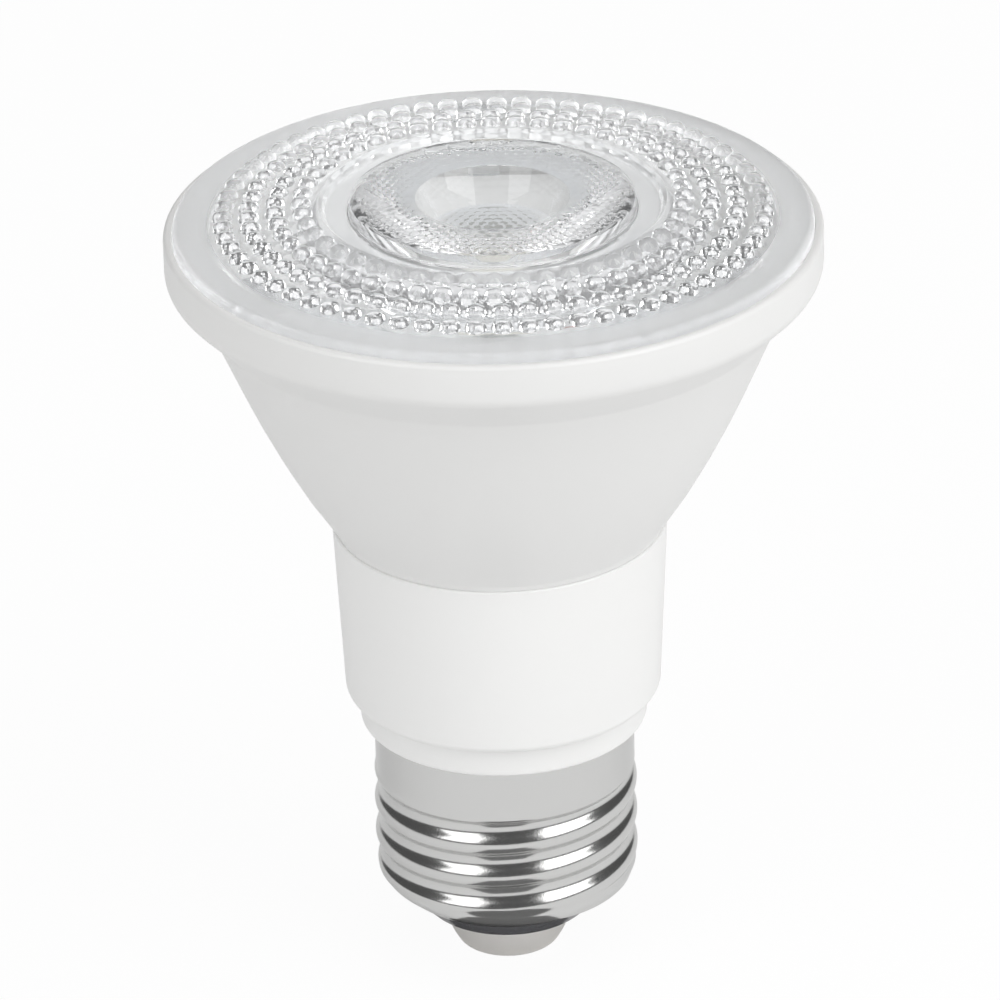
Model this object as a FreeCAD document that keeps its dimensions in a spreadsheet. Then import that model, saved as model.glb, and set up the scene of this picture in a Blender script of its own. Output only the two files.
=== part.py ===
import FreeCAD, Part
import math
import os
import re

import Sketcher

# A reflector lamp with a screw base, drawn upright in millimetres. The centre
# contact stands on Z = 0, the front lens looks up along +Z, and everything
# round is turned about the Z axis.

LAMP_SIZES = (
    # Screw base
    ("contact_flat_radius", 4.5, "flat end of the centre contact"),
    ("contact_edge_radius", 5.35, "centre contact above its rounded edge"),
    ("contact_rim_radius", 6.2, "open rim of the centre contact"),
    ("contact_edge_level", 0.75, "height of the rounded edge"),
    ("contact_height", 4.5, "height of the centre contact"),
    ("contact_wall", 0.5, "sheet of the centre contact"),
    ("insulator_run", 2.5, "lower edge of the insulator inside that of the shell"),
    ("insulator_boss_level", 1.2, "foot of the boss inside the contact"),
    ("insulator_bore_radius", 1.0, "way for the line wire"),
    ("insulator_top_level", 8.4, "top of the insulator"),
    ("shell_bottom_step", 1.5, "lower edge of the shell inside the thread"),
    ("shell_bottom_level", 6.5, "height of that edge"),
    ("shell_cone_step", 0.2, "top of the 45 degree cone beyond the thread's root"),
    ("shell_shoulder_level", 9.2, "top of the rounded shoulder"),
    ("shell_wall", 0.4, "sheet of the screw shell"),
    ("thread_root_radius", 12.3, "bottom of the thread"),
    ("thread_depth", 0.8, "top of the thread beyond its root"),
    ("thread_pitch", 3.629, "rise of one turn"),
    ("thread_turns", 2.8, "turns that stand proud"),
    ("thread_start_level", 8.75, "first crest, on the -X side"),
    ("thread_foot_width", 2.9, "width of the ridge at its foot"),
    ("thread_crest_width", 1.0, "width of the ridge at its top"),
    ("groove_bottom_level", 9.9, "lowest point of the plain root"),
    ("band_step", 0.6, "plain band over the thread beyond its root"),
    ("band_bottom_level", 20.2, "lower edge of the plain band"),
    ("shell_top_level", 25.7, "upper edge of the screw shell"),
    # Neck
    ("collar_radius", 14.2, "collar over the screw shell"),
    ("collar_edge", 0.4, "bevel under the collar"),
    ("neck_bottom_level", 28.9, "underside of the neck"),
    ("neck_lower_radius", 15.58, "neck above its rounded foot"),
    ("neck_edge", 0.7, "bevel under the neck"),
    ("neck_upper_radius", 16.44, "top of the neck"),
    ("neck_top_level", 47.13, "upper edge of the neck"),
    ("neck_wall", 1.5, "wall of the neck"),
    ("spigot_wall", 1.55, "wall of the spigot in the screw shell"),
    ("joint_depth", 4.5, "how far the reflector goes into the neck"),
    ("rib_inner_reach", 12.4, "inner face of the board ribs"),
    ("rib_width", 4.0, "width of the board ribs"),
    ("rib_bottom_level", 31.0, "foot of the board ribs"),
    ("rib_top_level", 41.0, "top of the board ribs"),
    # Reflector housing
    ("cone_lower_radius", 16.25, "cone where it leaves the neck"),
    ("cone_middle_share", 0.265217, "cone where its flare eases, share of its spread"),
    ("cone_middle_level", 52.0, "height of that circle"),
    ("cone_shoulder_share", 0.621739, "cone half way up, share of its spread"),
    ("cone_shoulder_level", 60.0, "height of that circle"),
    ("cone_upper_step", 0.95, "cone inside the foot of the lip"),
    ("cone_upper_level", 70.1, "height of that circle"),
    ("lip_radius", 31.75, "widest part of the lamp"),
    ("lip_step_level", 71.4, "foot of the sloping underside"),
    ("lip_overhang", 3.05, "lip beyond that foot"),
    ("lip_underside_level", 73.9, "top of the sloping underside"),
    ("lip_wall_level", 75.1, "foot of the upright lip"),
    ("lip_edge", 0.5, "bevel over the lip"),
    ("lip_top_level", 78.5, "top of the lip"),
    ("ledge_level", 77.6, "ledge that carries the lens"),
    ("ledge_thickness", 1.6, "thickness of the ledge"),
    ("ledge_width", 3.7, "width of the ledge"),
    ("hook_room", 2.0, "hollow behind the edge of the ledge"),
    ("cavity_step", 1.0, "top of the inner cone inside that hollow"),
    ("housing_upper_bore_level", 74.0, "height of that circle"),
    ("housing_lower_bore", 14.7, "inner cone at its foot"),
    ("housing_lower_bore_level", 48.3, "height of that circle"),
    ("housing_wall", 1.5, "wall of the reflector's own spigot"),
    # Front lens
    ("rim_wall", 0.8, "wall of the lip round the lens"),
    ("lens_edge", 0.5, "bevel of that edge"),
    ("lens_flange_level", 79.35, "flange beside its rounded edge"),
    ("bead_outer_level", 79.55, "outer edge of the beaded ring"),
    ("bead_inner_radius", 16.73, "inner edge of the beaded ring"),
    ("bead_inner_level", 81.22, "height of that edge"),
    ("lens_thickness", 1.5, "thickness of the beaded ring"),
    ("gutter_level", 80.3, "floor of the ring round the collimator"),
    ("collimator_radius", 13.7, "rim of the collimator"),
    ("collimator_level", 81.45, "height of the collimator's face"),
    ("collimator_foot_radius", 4.8, "lower end of the collimator"),
    ("collimator_foot_level", 70.0, "height of the lower end"),
    ("collimator_waist_radius", 10.6, "bend of the collimator's side"),
    ("collimator_waist_level", 74.6, "height of that bend"),
    ("led_hollow_radius", 3.8, "hollow over the light source"),
    ("led_hollow_level", 72.8, "roof of that hollow"),
    ("well_radius", 7.45, "mouth of the central well"),
    ("well_floor_radius", 6.2, "floor of the central well"),
    ("well_floor_level", 77.9, "edge of that floor"),
    ("bead_radius", 1.0, "one bead"),
    ("bead_height", 1.15, "how far a bead stands up"),
    ("bead_top_radius", 0.5, "flat top of a bead"),
    ("bead_sink", 0.3, "how deep a bead is set in"),
    ("bead_spacing", 2.42, "distance between beads in a row"),
    ("bead_first_row", 18.4, "radius of the inner row of beads"),
    ("bead_rim_gap", 1.21, "outer row of beads inside its rim"),
    ("hook_depth", 1.3, "thickness of a hook"),
    ("hook_width", 5.0, "width of a hook"),
    ("hook_bottom_level", 74.6, "lower end of a hook"),
    ("hook_barb", 1.0, "how far a hook reaches under the ledge"),
    ("hook_angle", 93.0, "place of the first hook round the lens"),
    # Heat sink and light source
    ("sink_top_level", 67.6, "face that carries the light source"),
    ("sink_thickness", 1.6, "plate of the heat sink"),
    ("sink_skirt_level", 58.0, "lower end of the heat sink's skirt"),
    ("sink_skirt_wall", 1.3, "wall of that skirt"),
    ("led_board_radius", 11.0, "board of the light source"),
    ("led_board_thickness", 1.0, "thickness of that board"),
    ("led_package_width", 7.0, "carrier of the light source"),
    ("led_package_height", 0.6, "height of that carrier"),
    ("phosphor_radius", 2.9, "glowing disc"),
    ("phosphor_height", 0.3, "height of that disc"),
    ("screw_distance", 8.2, "board screws from the middle"),
    ("screw_head_radius", 2.2, "head of a board screw"),
    ("screw_head_height", 1.3, "height of the head"),
    ("screw_shank_radius", 1.25, "shank of a board screw"),
    ("screw_shank_length", 4.0, "length of the shank"),
    # Driver
    ("board_half_width", 13.0, "driver board in the ribs"),
    ("board_half_tongue", 10.0, "driver board in the spigot"),
    ("board_thickness", 1.6, "thickness of the driver board"),
    ("board_bottom_level", 22.0, "lower end of the driver board"),
    ("board_shoulder_level", 32.0, "shoulders of the driver board"),
    ("board_top_level", 56.0, "upper end of the driver board"),
    ("wire_radius", 0.55, "insulated wire"),
    ("sink_wire_hole_radius", 1.2, "way for a wire through the heat sink"),
    ("light_wire_offset", 7.0, "wires to the light source from the middle"),
    ("light_wire_bottom_level", 52.0, "lower end of those wires"),
    ("light_wire_end", 0.3, "solder end over the board"),
    ("line_top_level", 27.0, "upper end of the line wire"),
    ("neutral_bottom_level", 11.0, "lower end of the neutral wire"),
    ("neutral_bend_level", 13.0, "start of its bend"),
    ("neutral_bend_height", 7.0, "height of that bend"),
    ("neutral_board_offset", 8.5, "neutral wire on the board"),
    ("neutral_top_level", 28.0, "upper end of the neutral wire"),
    ("capacitor_radius", 4.0, "smoothing capacitor"),
    ("capacitor_length", 14.0, "length of its can"),
    ("capacitor_offset", 5.5, "capacitor from the middle"),
    ("capacitor_level", 36.0, "lower end of the capacitor"),
    ("capacitor_edge", 0.5, "bevelled ends of the can"),
    ("inductor_radius", 4.0, "flanges of the inductor"),
    ("inductor_waist_radius", 2.0, "core inside the winding"),
    ("inductor_winding_radius", 3.5, "outside of the winding"),
    ("inductor_length", 7.0, "length of the inductor"),
    ("inductor_flange", 1.2, "thickness of a flange"),
    ("inductor_offset", 5.5, "inductor from the middle"),
    ("inductor_level", 47.0, "axis of the inductor"),
    ("film_width", 8.0, "film capacitor"),
    ("film_depth", 4.5, "depth of the film capacitor"),
    ("film_height", 7.0, "height of the film capacitor"),
    ("film_offset", 1.2, "near side of the film capacitor"),
    ("film_level", 33.0, "lower end of the film capacitor"),
    ("film_edge", 0.5, "bevelled edges of the film capacitor"),
    ("varistor_radius", 3.2, "surge arrester"),
    ("varistor_depth", 3.0, "thickness of the surge arrester"),
    ("varistor_offset", 4.6, "surge arrester from the middle"),
    ("varistor_level", 26.5, "axis of the surge arrester"),
    ("fuse_radius", 1.5, "fusible resistor"),
    ("fuse_waist_radius", 1.25, "middle of the fusible resistor"),
    ("fuse_length", 7.0, "length of the fusible resistor"),
    ("fuse_offset", 5.0, "fusible resistor from the middle"),
    ("fuse_level", 23.5, "lower end of the fusible resistor"),
    ("bridge_width", 5.0, "bridge rectifier"),
    ("bridge_depth", 2.4, "depth of the bridge rectifier"),
    ("bridge_height", 6.5, "height of the bridge rectifier"),
    ("bridge_level", 34.0, "lower end of the bridge rectifier"),
    ("chip_width", 4.0, "controller chip"),
    ("chip_depth", 1.5, "depth of the controller chip"),
    ("chip_height", 5.0, "height of the controller chip"),
    ("chip_level", 43.5, "lower end of the controller chip"),
    ("chip_lead_reach", 1.0, "leads beside the chip"),
    ("chip_lead_width", 0.5, "width of a lead"),
    ("chip_lead_depth", 0.4, "thickness of a lead"),
    ("chip_lead_spacing", 1.27, "distance between leads"),
    ("diode_width", 4.4, "output diode"),
    ("diode_depth", 2.2, "depth of the output diode"),
    ("diode_height", 2.6, "height of the output diode"),
    ("diode_level", 51.0, "lower end of the output diode"),
    # Fits
    ("fit_clearance", 0.05, "between pieces that slide together"),
)
# These follow from the sizes above, so that neighbours keep their fit.
FOLLOWING_SIZES = (
    ("shell_cone_radius", "thread_root_radius + shell_cone_step", "top of the shell's cone"),
    ("thread_crest_radius", "thread_root_radius + thread_depth", "top of the thread"),
    ("band_radius", "thread_root_radius + band_step", "plain band over the thread"),
    ("shell_bottom_radius", "thread_root_radius - shell_bottom_step", "edge of the shell"),
    ("insulator_lower_radius", "shell_bottom_radius - insulator_run", "edge of the insulator"),
    ("lip_step_radius", "lip_radius - lip_overhang", "foot of the lip's underside"),
    ("cone_upper_radius", "lip_step_radius - cone_upper_step", "cone under the lip"),
    ("cone_spread", "cone_upper_radius - cone_lower_radius", "how far the cone widens"),
    ("cone_middle_radius", "cone_lower_radius + cone_middle_share * cone_spread", "lower cone"),
    ("cone_shoulder_radius", "cone_lower_radius + cone_shoulder_share * cone_spread", "cone"),
    ("lens_radius", "lip_radius - rim_wall - fit_clearance", "outer edge of the lens"),
    ("ledge_inner_radius", "lens_radius - ledge_width", "inner edge of the ledge"),
    ("lip_cavity_radius", "ledge_inner_radius + hook_room", "hollow under the ledge"),
    ("housing_upper_bore", "lip_cavity_radius - cavity_step", "inner cone at its top"),
    ("bead_outer_radius", "ledge_inner_radius", "outer edge of the beaded ring"),
    ("bead_row_step", "(bead_outer_radius - bead_rim_gap - bead_first_row) / 3", "row to row"),
)

document = FreeCAD.newDocument("SpotlightBulb")
sheet = document.addObject("Spreadsheet::Sheet", "Sizes")
for row, (alias, amount, note) in enumerate(LAMP_SIZES, start=1):
    sheet.set("A%d" % row, note)
    sheet.set("B%d" % row, str(amount))
    sheet.setAlias("B%d" % row, alias)
for row, (alias, rule, note) in enumerate(FOLLOWING_SIZES, start=len(LAMP_SIZES) + 1):
    sheet.set("A%d" % row, note)
    sheet.set("B%d" % row, "=" + rule)
    sheet.setAlias("B%d" % row, alias)
document.recompute()

ALIASES = {alias for alias, amount, note in LAMP_SIZES + FOLLOWING_SIZES}
SUB_PARTS = []


def bound(expression):
    """The expression with the sheet's name in front of each of its sizes."""
    return re.sub(
        r"[a-z_]+",
        lambda word: "Sizes." + word.group() if word.group() in ALIASES else word.group(),
        expression,
    )


def number(expression):
    """What the expression comes to now."""
    return float(sheet.evalExpression(bound(expression)))


def sub_part(label):
    body = document.addObject("PartDesign::Body", label)
    body.Label = label
    SUB_PARTS.append(body)
    return body


def origin_plane(body, role):
    for feature in body.Origin.OriginFeatures:
        if feature.Role == role:
            return feature
    raise ValueError("no plane " + role)


def sketch_on(body, name, role="XZ_Plane", offset=None):
    sketch = body.newObject("Sketcher::SketchObject", name)
    sketch.AttachmentSupport = [(origin_plane(body, role), "")]
    sketch.MapMode = "FlatFace"
    if offset:
        sketch.setExpression(".AttachmentOffset.Base.z", bound(offset))
    document.recompute()
    return sketch


def pin(sketch, geometry, end, across, up):
    """Drives one end of a line or an arc from the sheet, both ways."""
    for kind, axis, expression in (("DistanceX", -2, across), ("DistanceY", -1, up)):
        if expression == "0":
            sketch.addConstraint(Sketcher.Constraint("PointOnObject", geometry, end, axis))
            continue
        rule = sketch.addConstraint(
            Sketcher.Constraint(kind, -1, 1, geometry, end, number(expression))
        )
        sketch.setExpression("Constraints[%d]" % rule, bound(expression))


def arc_between(start, end, radius, turn):
    """The short arc from start to end, turning left or right on its way."""
    chord = end - start
    side = FreeCAD.Vector(-chord.y, chord.x, 0).normalize()
    if turn == "right":
        side = side * -1
    rise = math.sqrt(max(radius ** 2 - (chord.Length / 2) ** 2, 0.0))
    centre = (start + end) * 0.5 + side * rise
    middle = centre - side * radius
    return Part.Arc(start, middle, end)


def outline(sketch, steps, closed=True):
    """Lines and arcs from corner to corner. A step is a corner's two places,
    and for an arc that ends there also its radius and the way it turns."""
    corners = [FreeCAD.Vector(number(step[0]), number(step[1]), 0) for step in steps]
    count = len(steps) if closed else len(steps) - 1
    ends = []
    for place in range(count):
        following = (place + 1) % len(steps)
        start, end, step = corners[place], corners[following], steps[following]
        if len(step) == 2:
            index = sketch.addGeometry(Part.LineSegment(start, end), False)
            ends.append((index, 1, 2))
            continue
        turn = step[3]
        index = sketch.addGeometry(arc_between(start, end, number(step[2]), turn), False)
        ends.append((index, 1, 2) if turn == "left" else (index, 2, 1))
        rule = sketch.addConstraint(Sketcher.Constraint("Radius", index, number(step[2])))
        sketch.setExpression("Constraints[%d]" % rule, bound(step[2]))
    for place, (index, first, last) in enumerate(ends):
        pin(sketch, index, first, steps[place][0], steps[place][1])
        following = place + 1
        if closed or following < len(ends):
            other, other_first, other_last = ends[following % len(ends)]
            sketch.addConstraint(
                Sketcher.Constraint("Coincident", index, last, other, other_first)
            )
        else:
            pin(sketch, index, last, steps[-1][0], steps[-1][1])
    document.recompute()
    return sketch


def circle(sketch, across, up, radius):
    centre = FreeCAD.Vector(number(across), number(up), 0)
    shape = Part.Circle(centre, FreeCAD.Vector(0, 0, 1), number(radius))
    index = sketch.addGeometry(shape, False)
    pin(sketch, index, 3, across, up)
    rule = sketch.addConstraint(Sketcher.Constraint("Radius", index, number(radius)))
    sketch.setExpression("Constraints[%d]" % rule, bound(radius))
    document.recompute()
    return sketch


def rectangle(sketch, left, low, right, high):
    return outline(sketch, [(left, low), (right, low), (right, high), (left, high)])


def revolve(body, sketch, name):
    feature = body.newObject("PartDesign::Revolution", name)
    feature.Profile = sketch
    feature.ReferenceAxis = (sketch, ["V_Axis"])
    feature.Angle = 360.0
    document.recompute()
    return feature


def extrude(body, sketch, name, length, kind="Pad", backwards=False):
    """A pad or a pocket; a pocket has to take something away."""
    before = body.Shape.Volume if body.Tip else 0.0
    feature = body.newObject("PartDesign::" + kind, name)
    feature.Profile = sketch
    feature.setExpression("Length", bound(length))
    feature.Reversed = backwards
    document.recompute()
    if kind == "Pocket" and body.Shape.Volume > before - 1e-6:
        raise ValueError(name + " cuts nothing")
    return feature


def pattern_round_axis(body, original, name, count):
    """Repeats a feature round the lamp's axis."""
    feature = body.newObject("PartDesign::PolarPattern", name)
    feature.Originals = [original]
    feature.Axis = (origin_plane(body, "Z_Axis"), [""])
    feature.Angle = 360.0
    feature.setExpression("Occurrences", bound(count))
    body.Tip = feature
    document.recompute()
    return feature


def turned(label, steps):
    """A sub-part that is one profile turned about the lamp's axis."""
    body = sub_part(label)
    sketch = outline(sketch_on(body, label + "_profile"), steps)
    revolve(body, sketch, label + "_turned")
    return body


def block_on_board(label, left, right, low, high, depth, side):
    """A square-cornered part standing on one face of the driver board."""
    body = sub_part(label)
    offset = "wire_radius - " + depth if side == "front" else "wire_radius + board_thickness"
    sketch = sketch_on(body, label + "_face", offset=offset)
    rectangle(sketch, left, low, right, high)
    extrude(body, sketch, label + "_block", depth)
    return body


# Screw base


def make_centre_contact():
    """A pressed cap with a flat end, a bevelled edge and a flared side."""
    turned("centre_contact", [
        ("0", "0"),
        ("contact_flat_radius", "0"),
        ("contact_edge_radius", "contact_edge_level"),
        ("contact_rim_radius", "contact_height"),
        ("contact_rim_radius - contact_wall", "contact_height"),
        ("contact_flat_radius", "contact_wall"),
        ("0", "contact_wall"),
    ])


def make_base_insulator():
    """Its boss fills the contact and its shoulder fits the cone of the shell."""
    boss_top = "contact_rim_radius - contact_wall - fit_clearance"
    boss_foot = "contact_flat_radius - fit_clearance"
    shoulder = "shell_bottom_radius - shell_wall - fit_clearance"
    plug = "thread_root_radius - shell_wall - fit_clearance"
    turned("base_insulator", [
        ("insulator_bore_radius", "insulator_boss_level"),
        (boss_foot, "insulator_boss_level"),
        (boss_top, "contact_height"),
        ("insulator_lower_radius", "contact_height"),
        (shoulder, "shell_bottom_level"),
        (plug, "shell_bottom_level + " + plug + " - (" + shoulder + ")"),
        (plug, "insulator_top_level"),
        ("insulator_bore_radius", "insulator_top_level"),
    ])


def make_screw_shell():
    """A sheet shell with a plain band over a rounded right-hand thread."""
    bore = "thread_root_radius - shell_wall"
    body = turned("screw_shell", [
        ("shell_bottom_radius - shell_wall", "shell_bottom_level"),
        ("shell_bottom_radius", "shell_bottom_level"),
        ("shell_cone_radius", "shell_bottom_level + shell_cone_radius - shell_bottom_radius"),
        ("band_radius", "shell_shoulder_level"),
        ("thread_root_radius", "groove_bottom_level"),
        ("thread_root_radius", "band_bottom_level - (band_radius - thread_root_radius)"),
        ("band_radius", "band_bottom_level"),
        ("band_radius", "shell_top_level"),
        ("band_radius - shell_wall", "shell_top_level"),
        ("band_radius - shell_wall", "band_bottom_level"),
        (bore, "band_bottom_level - (band_radius - thread_root_radius)"),
        (bore, "shell_bottom_level + (" + bore + ") - (shell_bottom_radius - shell_wall)"),
    ])
    sketch = sketch_on(body, "thread_profile")
    foot = "-(thread_root_radius - shell_wall / 2)"
    outline(sketch, [
        (foot, "thread_start_level - thread_foot_width / 2"),
        (foot, "thread_start_level + thread_foot_width / 2"),
        ("-thread_crest_radius", "thread_start_level + thread_crest_width / 2"),
        ("-thread_crest_radius", "thread_start_level - thread_crest_width / 2"),
    ])
    thread = body.newObject("PartDesign::AdditiveHelix", "thread")
    thread.Profile = sketch
    thread.ReferenceAxis = (sketch, ["V_Axis"])
    thread.Mode = 1
    thread.setExpression("Pitch", bound("thread_pitch"))
    thread.setExpression("Turns", bound("thread_turns"))
    thread.LeftHanded = False
    thread.Reversed = False
    document.recompute()


# Housings


def make_neck():
    """The moulded neck: its spigot carries the screw shell, its mouth takes
    the reflector housing, and two ribs inside hold the driver board."""
    spigot = "band_radius - shell_wall - fit_clearance"
    spigot_bore = "(" + spigot + " - spigot_wall)"
    bore = "(neck_lower_radius - neck_wall)"
    collar_bore = "(collar_radius - neck_wall)"
    seat = "(neck_upper_radius - neck_wall)"
    spigot_bottom = "band_bottom_level + fit_clearance * 4"
    body = turned("neck_housing", [
        (spigot_bore, spigot_bottom),
        (spigot, spigot_bottom),
        (spigot, "shell_top_level"),
        ("collar_radius - collar_edge", "shell_top_level"),
        ("collar_radius", "shell_top_level + collar_edge"),
        ("collar_radius", "neck_bottom_level"),
        ("neck_lower_radius - neck_edge", "neck_bottom_level"),
        ("neck_lower_radius", "neck_bottom_level + neck_edge"),
        ("neck_upper_radius", "neck_top_level"),
        (seat, "neck_top_level"),
        (seat, "neck_top_level - joint_depth"),
        (bore, "neck_top_level - joint_depth"),
        (bore, "neck_bottom_level + neck_wall"),
        (collar_bore, "neck_bottom_level + neck_wall"),
        (collar_bore, "shell_top_level + neck_wall"),
        (spigot_bore, "shell_top_level + neck_wall"),
    ])
    sketch = sketch_on(body, "rib_plan", "XY_Plane", "rib_bottom_level")
    rectangle(sketch, "rib_inner_reach", "-rib_width", bore + " + neck_wall / 2", "rib_width / 4")
    rib = extrude(body, sketch, "rib", "rib_top_level - rib_bottom_level")
    mirror = body.newObject("PartDesign::Mirrored", "ribs")
    mirror.Originals = [rib]
    mirror.MirrorPlane = (sketch, ["V_Axis"])
    body.Tip = mirror
    document.recompute()
    sketch = sketch_on(body, "groove_plan", "XY_Plane", "board_shoulder_level")
    reach = "(board_half_width + fit_clearance)"
    rectangle(sketch, "-" + reach, "-(wire_radius + board_thickness + fit_clearance)",
              reach, "fit_clearance - wire_radius")
    extrude(body, sketch, "board_groove", "rib_top_level - board_shoulder_level", "Pocket", True)


def make_reflector_housing():
    """The white cone and its lip, with the ledge that carries the lens."""
    spigot = "(neck_upper_radius - neck_wall - fit_clearance)"
    spigot_bore = "(" + spigot + " - housing_wall)"
    spigot_bottom = "(neck_top_level - joint_depth + fit_clearance)"
    turned("reflector_housing", [
        (spigot_bore, spigot_bottom),
        (spigot, spigot_bottom),
        (spigot, "neck_top_level"),
        ("cone_lower_radius", "neck_top_level"),
        ("cone_middle_radius", "cone_middle_level"),
        ("cone_shoulder_radius", "cone_shoulder_level"),
        ("cone_upper_radius", "cone_upper_level"),
        ("lip_step_radius", "lip_step_level"),
        ("lip_step_radius + lip_underside_level - lip_step_level", "lip_underside_level"),
        ("lip_radius", "lip_wall_level"),
        ("lip_radius", "lip_top_level - lip_edge"),
        ("lip_radius - lip_edge", "lip_top_level"),
        ("lens_radius + fit_clearance", "lip_top_level"),
        ("lens_radius + fit_clearance", "ledge_level"),
        ("ledge_inner_radius", "ledge_level"),
        ("ledge_inner_radius", "ledge_level - ledge_thickness"),
        ("lip_cavity_radius", "ledge_level - ledge_thickness"),
        ("lip_cavity_radius", "housing_upper_bore_level"),
        ("housing_upper_bore", "housing_upper_bore_level"),
        ("housing_lower_bore", "housing_lower_bore_level"),
        (spigot_bore, "neck_top_level"),
    ])


# Front lens


def bead_stud(base, top, height):
    """A six-sided stud that narrows to a flat top, standing on Z = 0."""
    rings = []
    for radius, level in ((base, 0.0), (top, height)):
        rings.append([
            FreeCAD.Vector(
                radius * math.cos(math.radians(60 * corner)),
                radius * math.sin(math.radians(60 * corner)),
                level,
            )
            for corner in range(6)
        ])
    foot, crown = rings
    walls = [
        [foot[corner], foot[(corner + 1) % 6], crown[(corner + 1) % 6], crown[corner]]
        for corner in range(6)
    ]
    faces = [
        Part.Face(Part.makePolygon(loop + loop[:1]))
        for loop in [foot, crown] + walls
    ]
    return Part.Solid(Part.makeShell(faces))


def make_beads():
    """Four rings of beads on the sloping front. They stand square to it, and
    every second ring is turned by half a bead."""
    drop = number("bead_inner_level - bead_outer_level")
    run = number("bead_outer_radius - bead_inner_radius")
    slope = math.degrees(math.atan2(drop, run))
    stud = bead_stud(
        number("bead_radius"),
        number("bead_top_radius"),
        number("bead_height + bead_sink"),
    )
    studs = []
    for ring in range(4):
        radius = number("bead_first_row + %d * bead_row_step" % ring)
        level = number("bead_inner_level") - (radius - number("bead_inner_radius")) * drop / run
        tilt = FreeCAD.Rotation(FreeCAD.Vector(0, 1, 0), slope)
        seat = FreeCAD.Vector(radius, 0, level) - tilt.multVec(
            FreeCAD.Vector(0, 0, number("bead_sink"))
        )
        count = round(2 * math.pi * radius / number("bead_spacing"))
        for place in range(count):
            angle = 360.0 * (place + ring % 2 / 2) / count
            around = FreeCAD.Rotation(FreeCAD.Vector(0, 0, 1), angle)
            bead = stud.copy()
            bead.Placement = FreeCAD.Placement(around.multVec(seat), around.multiply(tilt))
            studs.append(bead)
    return studs


def make_front_lens():
    """One clear moulding: flange, beaded ring, gutter and collimator, held by
    three hooks under the ledge."""
    slope = "(bead_inner_level - bead_outer_level) / (bead_outer_radius - bead_inner_radius)"
    gutter_floor = "(gutter_level - lens_thickness)"
    body = document.addObject("PartDesign::Body", "lens_moulding")
    sketch = outline(sketch_on(body, "lens_profile"), [
        ("0", "led_hollow_level"),
        ("led_hollow_radius", "led_hollow_level"),
        ("led_hollow_radius", "collimator_foot_level"),
        ("collimator_foot_radius", "collimator_foot_level"),
        ("collimator_waist_radius", "collimator_waist_level"),
        ("collimator_radius", gutter_floor),
        ("bead_inner_radius", gutter_floor),
        (
            "bead_inner_radius + lens_thickness",
            "bead_inner_level - lens_thickness - lens_thickness * " + slope,
        ),
        ("bead_outer_radius", "bead_outer_level - lens_thickness"),
        ("bead_outer_radius", "ledge_level"),
        ("lens_radius", "ledge_level"),
        ("lens_radius", "lens_flange_level - lens_edge"),
        ("lens_radius - lens_edge", "lens_flange_level"),
        ("bead_outer_radius", "bead_outer_level"),
        ("bead_inner_radius", "bead_inner_level"),
        ("bead_inner_radius - lens_thickness / 3", "gutter_level"),
        ("collimator_radius + lens_thickness / 8", "gutter_level"),
        ("collimator_radius", "collimator_level"),
        ("well_radius", "collimator_level"),
        ("well_floor_radius", "well_floor_level"),
        ("0", "well_floor_level"),
    ])
    revolve(body, sketch, "lens_turned")
    hook_face = "sqrt((ledge_inner_radius - fit_clearance)^2 - hook_width^2 / 4)"
    barb_top = "ledge_level - ledge_thickness - fit_clearance"
    sketch = outline(sketch_on(body, "hook_profile", offset="-hook_width / 2"), [
        (hook_face + " - hook_depth", "bead_outer_level - lens_thickness / 2"),
        (hook_face + " - hook_depth", "hook_bottom_level"),
        (hook_face, "hook_bottom_level"),
        (hook_face + " + hook_barb", barb_top),
        (hook_face, barb_top),
        (hook_face, "bead_outer_level - lens_thickness / 2"),
    ])
    hook = extrude(body, sketch, "hook", "hook_width")
    pattern_round_axis(body, hook, "hooks", "3")
    # A pattern feature takes minutes over this many studs, so the moulding and
    # its studs are joined as shapes.
    lens = document.addObject("Part::Feature", "front_lens")
    lens.Label = "front_lens"
    lens.Shape = body.Shape.multiFuse(make_beads())
    turn = FreeCAD.Rotation(FreeCAD.Vector(0, 0, 1), number("hook_angle"))
    lens.Placement = FreeCAD.Placement(FreeCAD.Vector(), turn)
    SUB_PARTS.append(lens)


# Heat sink and light source


def make_heat_sink():
    """A plate across the cone, with a skirt that lies along its inner wall."""
    rise = "(housing_upper_bore_level - housing_lower_bore_level)"
    lean = "((housing_upper_bore - housing_lower_bore) / " + rise + ")"
    bore_at = "(housing_lower_bore - fit_clearance + %s * (%s - housing_lower_bore_level))"
    plate_bottom = "(sink_top_level - sink_thickness)"
    at_top = bore_at % (lean, "sink_top_level")
    at_plate = bore_at % (lean, plate_bottom)
    at_skirt = bore_at % (lean, "sink_skirt_level")
    body = turned("heat_sink", [
        ("0", plate_bottom),
        (at_plate + " - sink_skirt_wall", plate_bottom),
        (at_skirt + " - sink_skirt_wall", "sink_skirt_level"),
        (at_skirt, "sink_skirt_level"),
        (at_top, "sink_top_level"),
        ("0", "sink_top_level"),
    ])
    sketch = sketch_on(body, "sink_holes", "XY_Plane", "sink_top_level")
    for side in ("", "-"):
        circle(sketch, side + "light_wire_offset", "0", "sink_wire_hole_radius")
        circle(sketch, "0", side + "screw_distance", "screw_shank_radius")
    extrude(body, sketch, "sink_hole_cut", "sink_thickness", "Pocket")


def make_led_board():
    body = sub_part("led_board")
    sketch = circle(sketch_on(body, "led_board_plan", "XY_Plane", "sink_top_level"),
                    "0", "0", "led_board_radius")
    for side in ("", "-"):
        circle(sketch, side + "light_wire_offset", "0", "wire_radius + fit_clearance")
        circle(sketch, "0", side + "screw_distance", "screw_shank_radius + fit_clearance")
    extrude(body, sketch, "led_board_plate", "led_board_thickness")


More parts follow.
